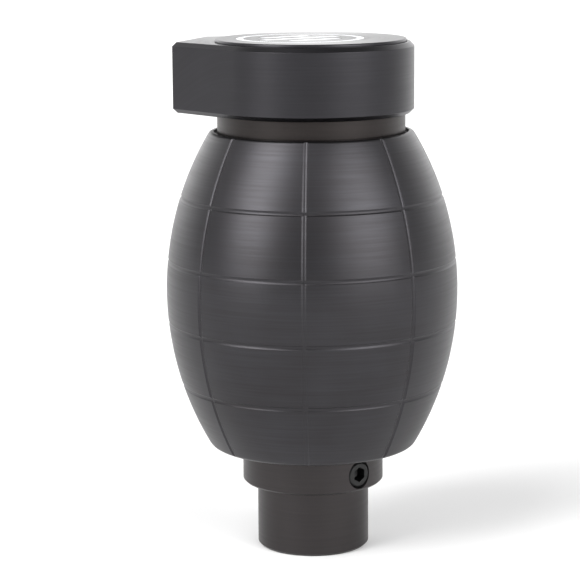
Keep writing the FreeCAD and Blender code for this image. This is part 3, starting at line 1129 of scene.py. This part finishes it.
@dataclass
class Head:
    """The collar and the head block: a round body with a tapered boss for the button."""

    collar_radius: float = 17.65
    collar_foot: float = 78.0
    collar_chamfer: float = 0.3
    stem_radius: float = 11.0
    foot: float = 83.4
    top: float = 96.6
    radius: float = 19.3
    chamfer: float = 0.8
    edge: float = 0.1
    end_face: float = 24.55
    end_half_width: float = 8.4
    end_corner: float = 0.5
    back_steps: int = 150
    flank_steps: int = 6
    corner_steps: int = 4
    end_steps: int = 8
    recess_radius: float = 17.95
    recess_floor: float = 95.4
    bush_radius: float = 5.0
    bush_top: float = 86.0
    follower_bore: float = 2.85
    cam_bore: Pair = (3.65, -8.0)
    shoulder_bore: Pair = (4.7, 12.8)
    bezel_bore: Pair = (5.0, 18.2)
    screw_angles: tuple[float, ...] = (90.0, 180.0, 270.0)
    screw_circle: float = 14.3
    screw_seat: float = 92.2
    screw_bore: float = 1.5
    screw_head_bore: float = 2.75
    run_out: float = 1.0

    def collar(self) -> Piece:
        """Turn the collar that stands in the barrel's lip.

        Returns:
            The finished collar.
        """
        slope = self.collar_chamfer
        outline = rounded([
            (self.stem_radius, self.collar_foot, 0.0),
            (self.collar_radius - slope, self.collar_foot, self.edge),
            (self.collar_radius, self.collar_foot + slope, self.edge),
            (self.collar_radius, self.foot, self.edge),
            (self.stem_radius, self.foot, 0.0),
        ])
        piece = polish(revolve("collar_ring_finished", outline))
        # The collar's finish carries painted shade from the head above it.
        return dress(piece, COLLAR_TONE_AND_SHADE_FINISH, "knob", "collar_ring")

    def plan(self, inset: float) -> Outline:
        """Draw the head's plan, moved inwards by a little.

        Args:
            inset: How far inwards, in millimetres.

        Returns:
            The points, anticlockwise, the same number for every inset.
        """
        reach = math.hypot(self.end_face, self.end_half_width)
        lean = math.atan2(self.end_half_width, self.end_face) + math.acos(self.radius / reach)
        radius = self.radius - inset
        end = self.end_face - inset
        half = (radius - end * math.cos(lean)) / math.sin(lean)
        touch = (radius * math.cos(lean), radius * math.sin(lean))
        corner = max(self.end_corner - inset, self.edge)
        high = corner_arc((end, 0.0), (end, half), touch, corner, self.corner_steps)
        low = [(x, -y) for x, y in reversed(high)]
        sweep = 2 * (math.pi - lean)
        points = []
        for step in range(self.back_steps):
            angle = lean + sweep * step / self.back_steps
            points.append((radius * math.cos(angle), radius * math.sin(angle)))
        points += self.run((touch[0], -touch[1]), low[0], self.flank_steps)
        points += low
        points += self.run(low[-1], high[0], self.end_steps)[1:]
        points += high
        points += self.run(high[-1], touch, self.flank_steps)[1:]
        return points

    @staticmethod
    def run(
        start: Pair, end: Pair, steps: int
    ) -> Outline:
        """Points from a start towards an end, without the end."""
        shares = [step / steps for step in range(steps)]
        return [tuple(Vector(start).lerp(Vector(end), share)) for share in shares]

    def block(self) -> Piece:
        """Stack the head's plan into its chamfered body and bore it.

        Returns:
            The finished head block.
        """
        deep = self.chamfer
        wall = rounded([
            (-deep - self.run_out, self.foot, 0.0),
            (-deep, self.foot, self.edge),
            (0.0, self.foot + deep, self.edge),
            (0.0, self.top - deep, self.edge),
            (-deep, self.top, self.edge),
            (-deep - self.run_out, self.top, 0.0),
        ])[1:-1]
        turn = Matrix.Rotation(math.radians(BUTTON_AXIS.angle), 4, "Z")
        work = bmesh.new()
        loops = []
        for inset, height in wall:
            plan = self.plan(-inset)
            spots = [turn @ Vector((x, y, height)) * MM for x, y in plan]
            loops.append([work.verts.new(spot) for spot in spots])
        rim = loops[-1]
        inner = []
        for height in (self.top, self.recess_floor):
            spots = []
            for corner in rim:
                flat = corner.co.xy.normalized() * self.recess_radius * MM
                spots.append((flat.x, flat.y, height * MM))
            inner.append([work.verts.new(spot) for spot in spots])
        loops += inner
        loops.append([work.verts.new((0.0, 0.0, self.recess_floor * MM))])
        loops.insert(0, [work.verts.new((0.0, 0.0, self.foot * MM))])
        skin(work, loops)
        piece = from_work("head_block_finished", work)
        out = self.end_face + self.run_out
        cutters = [
            rod(self.bush_radius, self.foot - self.run_out, self.bush_top),
            rod(self.follower_bore, self.bush_top - self.run_out, BUTTON_AXIS.height),
        ]
        for bore, start in (self.cam_bore, self.shoulder_bore, self.bezel_bore):
            cutters.append(rod(bore, start, out, BUTTON_AXIS))
        for angle in self.screw_angles:
            spot = polar(self.screw_circle * MM, BUTTON_AXIS.angle + angle, 0.0)
            narrow = rod(self.screw_bore, self.foot - self.run_out, self.screw_seat + self.edge)
            wide = rod(self.screw_head_bore, self.screw_seat, self.top)
            for tool in (narrow, wide):
                tool.data.transform(Matrix.Translation(spot))
                cutters.append(tool)
        polish(cut(piece, cutters))
        return dress(piece, HEAD_FINISH, "knob", "head_block")

    def build(self) -> None:
        """Make and dress the collar and the block."""
        self.collar()
        self.block()


@dataclass
class Crown:
    """The crown disc and the enamel mark let into it: a ring round three slanted bars."""

    radius: float = 17.86
    foot_radius: float = 16.9
    foot: float = 95.4
    step: float = 96.5
    top: float = 97.2
    round_over: float = 0.3
    edge: float = 0.08
    centre: float = -2.0
    turn: float = 35.0
    depth: float = 0.25
    sunk: float = 0.02
    gap: float = 0.04
    run_out: float = 1.0
    ring: Pair = (10.6, 12.0)
    bar_width: float = 2.6
    bar_pitch: float = 4.8
    bar_halves: tuple[float, ...] = (5.3, 8.5, 5.3)

    def mark(self, grow_by: float, high: float) -> list[Piece]:
        """Make the mark's ring and bars, or the tools for their pockets.

        Args:
            grow_by: How much wider each side is than the enamel.
            high: The height of the top faces.

        Returns:
            One object for the ring and one for each bar.
        """
        low = self.top - self.depth - (self.gap if grow_by else 0.0)
        inner, outer = self.ring[0] - grow_by, self.ring[1] + grow_by
        pieces = [revolve("mark", [(inner, low), (outer, low), (outer, high), (inner, high)])]
        for step, half in enumerate(self.bar_halves):
            across = (step - 1) * self.bar_pitch
            size = (2 * (half + grow_by), self.bar_width + 2 * grow_by, high - low)
            pieces.append(brick(size, (0.0, across, (high + low) / 2), self.turn))
        for piece in pieces:
            piece.data.transform(Matrix.Translation((self.centre * MM, 0.0, 0.0)))
        return pieces

    def disc(self) -> Piece:
        """Turn the disc and cut the mark's pockets.

        Returns:
            The finished disc.
        """
        outline = rounded([
            (0.0, self.foot, 0.0),
            (self.foot_radius, self.foot, self.edge),
            (self.foot_radius, self.step, 0.0),
            (self.radius, self.step, self.edge),
            (self.radius, self.top, self.round_over),
            (0.0, self.top, 0.0),
        ])
        piece = revolve("crown_disc_finished", outline)
        polish(cut(piece, self.mark(self.gap, self.top + self.run_out)))
        return dress(piece, HEAD_FINISH, "knob", "crown_disc")

    def inlay(self) -> Piece:
        """Fill the pockets with enamel, a hair below the disc.

        Returns:
            The finished inlay, one piece.
        """
        work = bmesh.new()
        for part in self.mark(0.0, self.top - self.sunk):
            work.from_mesh(part.data)
            bpy.data.objects.remove(part)
        piece = polish(from_work("crown_inlay_finished", work), self.edge)
        return dress(piece, INLAY_FINISH, "knob", "crown_inlay")

    def build(self) -> None:
        """Make and dress the disc and its inlay."""
        self.disc()
        self.inlay()


@dataclass
class ThumbButton:
    """The domed button on its level axis, and the bezel that it runs in."""

    radius: float = 4.2
    rim: float = 25.35
    dome: float = 1.6
    dome_steps: int = 14
    edge: float = 0.12
    shoulder: tuple[float, float, float] = (4.65, 16.4, 18.1)
    peg: Pair = (1.8, 9.0)
    bezel_outer: float = 5.0
    bezel_bore: float = 4.25
    bezel_span: Pair = (18.2, 24.55)

    def button(self) -> Piece:
        """Turn the button with its shoulder and its peg.

        Returns:
            The finished button.
        """
        shoulder, low, high = self.shoulder
        peg, peg_in = self.peg
        ball = (self.radius ** 2 + self.dome ** 2) / (2 * self.dome)
        centre = self.rim + self.dome - ball
        widest = math.asin(self.radius / ball)
        arc = []
        for step in range(self.dome_steps + 1):
            angle = widest * (1 - step / self.dome_steps)
            arc.append((ball * math.sin(angle), centre + ball * math.cos(angle)))
        arc[-1] = (0.0, arc[-1][1])
        rim_arc = corner_arc((self.radius, high), (self.radius, self.rim), arc[2], self.edge)
        outline = [(0.0, peg_in), (peg, peg_in), (peg, low), (shoulder, low), (shoulder, high),
                   (self.radius, high)] + rim_arc + arc[1:]
        piece = revolve("thumb_button_finished", outline, BUTTON_AXIS, FINE_SEGMENTS)
        polish(piece, axis=BUTTON_AXIS)
        return dress(piece, BUTTON_FINISH, "button", "thumb_button")

    def bezel(self) -> Piece:
        """Turn the bezel that is pressed into the head's end face.

        Returns:
            The finished bezel.
        """
        low, high = self.bezel_span
        outline = rounded([
            (self.bezel_bore, low, 0.0),
            (self.bezel_outer, low, 0.0),
            (self.bezel_outer, high, self.edge),
            (self.bezel_bore, high, 2 * self.edge),
        ])
        piece = revolve("button_bezel_finished", outline, BUTTON_AXIS, FINE_SEGMENTS)
        polish(piece, axis=BUTTON_AXIS)
        return dress(piece, BEZEL_FINISH, "knob", "button_bezel")

    def build(self) -> None:
        """Make and dress the button and its bezel."""
        self.button()
        self.bezel()


@dataclass
class RodSpring:
    """The rod's coil spring, which is squeezed between its washer and the falling follower."""

    wire_radius: float = 0.3
    mean_radius: float = 2.75
    turns: int = 8
    span: Pair = (60.85, 75.65)
    seats: Pair = (60.5, 76.0)
    steps_in_turn: int = 24
    sides: int = 10

    def ring(self, step: int) -> list[Vector]:
        """Place the wire's cross-section at a step along the coil.

        Args:
            step: How many steps from the coil's foot.

        Returns:
            The section's points, in metres.
        """
        low, high = self.span
        rise = (high - low) / self.turns
        degrees = 360.0 * step / self.steps_in_turn
        centre = polar(self.mean_radius, degrees, low + rise * degrees / 360.0)
        out = polar(1.0, degrees, 0.0)
        along = polar(self.mean_radius, degrees + 90.0, rise / math.tau).normalized()
        up = along.cross(out)
        spots = []
        for side in range(self.sides):
            turn = -math.tau * side / self.sides
            spoke = out * math.cos(turn) + up * math.sin(turn)
            spots.append((centre + spoke * self.wire_radius) * MM)
        return spots

    def build(self) -> None:
        """Wind the spring and give it its finish."""
        work = bmesh.new()
        last = self.turns * self.steps_in_turn
        loops = [[work.verts.new(spot) for spot in self.ring(step)] for step in range(last + 1)]
        skin(work, loops)
        work.faces.new(loops[0])
        work.faces.new(loops[-1])
        piece = polish(from_work("rod_spring_finished", work))
        piece.data.materials.append(WIRE_FINISH.made())
        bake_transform(piece)
        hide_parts("rod_spring")
        LOG.info("%s: %d faces", piece.name, len(piece.data.polygons))


@dataclass
class InnerPieces:
    """The inner nodes that stay as they are and only take a finish."""

    finishes: tuple[tuple[Finish, tuple[str, ...]], ...] = (
        (OXIDE_FINISH, ("head_screws",)),
        (RUBBER_FINISH, ("crown_seal",)),
        (STEEL_FINISH, ("barrel_dowel", "button_pin", "cam_slide", "cam_follower",
                        "follower_pin", "push_rod", "spring_washer")),
        (NYLON_FINISH, ("rod_tip",)),
        (BRONZE_FINISH, ("upper_rod_bush", "lower_rod_bush")),
    )

    def build(self) -> None:
        """Give each inner node its finish."""
        for finish, nodes in self.finishes:
            for node in nodes:
                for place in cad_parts[node].material_slots:
                    place.material = finish.made()
                LOG.info("%s keeps its solid", node)


@dataclass
class Studio:
    """A pale floor, soft lamps to the left and the right, a white room and the camera."""

    focal_mm: float = 134.69
    distance: float = 405.8
    height: float = 124.7
    pitch: float = 10.5
    yaw: float = 0.593
    roll: float = -0.4
    sensor_mm: float = 36.0
    sight: Pair = (0.01, 50.0)
    floor_reach: float = 12.0
    room_front: float = 0.28
    room_back: float = 2.1
    back_span: Pair = (0.0, 0.8)
    low_span: Pair = (0.9, 0.2)
    lamp_spread: float = 30.0
    lamps: tuple[tuple[float, float, float], ...] = (
        (-52.0, 14.0, 1.1),
        (-53.0, 34.0, 1.4),
        (-53.0, 54.0, 1.15),
        (38.0, 14.0, 0.7),
        (58.0, 14.0, 0.7),
        (38.0, 38.0, 0.65),
        (58.0, 38.0, 0.6),
    )

    def camera(self) -> None:
        """Place the camera in front of the knob, a little above it."""
        data = bpy.data.cameras.new("camera")
        data.lens = self.focal_mm
        data.sensor_width = self.sensor_mm
        data.clip_start, data.clip_end = self.sight
        eye = bpy.data.objects.new("camera", data)
        aim = Matrix.Rotation(math.radians(self.yaw), 4, "Z")
        aim = aim @ Matrix.Rotation(math.radians(90.0 - self.pitch), 4, "X")
        aim = aim @ Matrix.Rotation(math.radians(self.roll), 4, "Z")
        place = Matrix.Translation(Vector((0.0, -self.distance, self.height)) * MM)
        eye.matrix_world = place @ aim
        bpy.context.scene.collection.objects.link(eye)
        bpy.context.scene.camera = eye

    def lamp(self, bearing: float, rise: float, power: float) -> None:
        """Hang one round soft lamp, so far away that it lights the whole floor evenly.

        Args:
            bearing: Degrees to the right of the camera, seen from the knob.
            rise: Degrees above the level.
            power: The lamp's power in watts on a square metre.
        """
        data = bpy.data.lights.new("soft_lamp", "SUN")
        data.angle = math.radians(self.lamp_spread)
        data.energy = power
        lamp = bpy.data.objects.new("soft_lamp", data)
        away = polar(math.cos(math.radians(rise)), bearing - 90.0, math.sin(math.radians(rise)))
        lamp.location = away
        lamp.rotation_euler = away.to_track_quat("Z", "Y").to_euler()
        bpy.context.scene.collection.objects.link(lamp)

    def floor(self) -> None:
        """Lay the wide pale floor."""
        mesh = bpy.data.meshes.new("floor")
        sides = ((-1, -1), (1, -1), (1, 1), (-1, 1))
        spots = [(x * self.floor_reach, y * self.floor_reach, 0.0) for x, y in sides]
        mesh.from_pydata(spots, [], [(0, 1, 2, 3)])
        sheet = new_object("floor", mesh)
        sheet.data.materials.append(PAPER_FINISH.made())

    def room(self) -> None:
        """Surround the scene with white light, brightest low down behind the knob."""
        world = bpy.data.worlds.new("white_room")
        world.use_nodes = True
        tree = world.node_tree
        light = tree.nodes["Background"]
        light.inputs["Color"].default_value = srgb("ffffff")
        way = add_node(tree, "ShaderNodeTexCoord").outputs["Generated"]
        way = add_node(tree, "ShaderNodeSeparateXYZ", {0: way}).outputs
        back, low = (
            add_node(
                tree,
                "ShaderNodeMapRange",
                {"Value": along, "From Min": start, "From Max": end},
                interpolation_type="SMOOTHSTEP",
            )
            for along, (start, end) in ((way[1], self.back_span), (way[2], self.low_span))
        )
        share = formula(tree, "MULTIPLY", back.outputs[0], low.outputs[0])
        extra = self.room_back - self.room_front
        strength = formula(tree, "MULTIPLY_ADD", share, extra, self.room_front)
        tree.links.new(strength, light.inputs["Strength"])
        bpy.context.scene.world = world

    def build(self) -> None:
        """Set up the whole studio."""
        bpy.context.scene.view_settings.view_transform = "Standard"
        self.camera()
        self.floor()
        self.room()
        for lamp in self.lamps:
            self.lamp(*lamp)


def main() -> None:
    """Build the studio and every piece."""
    logging.basicConfig(level=logging.INFO, format="%(name)s: %(message)s")
    parts = (Studio(), Barrel(), LeverMount(), Head(), Crown(), ThumbButton(), RodSpring(),
             InnerPieces())
    for part in parts:
        part.build()
        LOG.info("%s done", type(part).__name__)


if __name__ == "__main__":
    main()
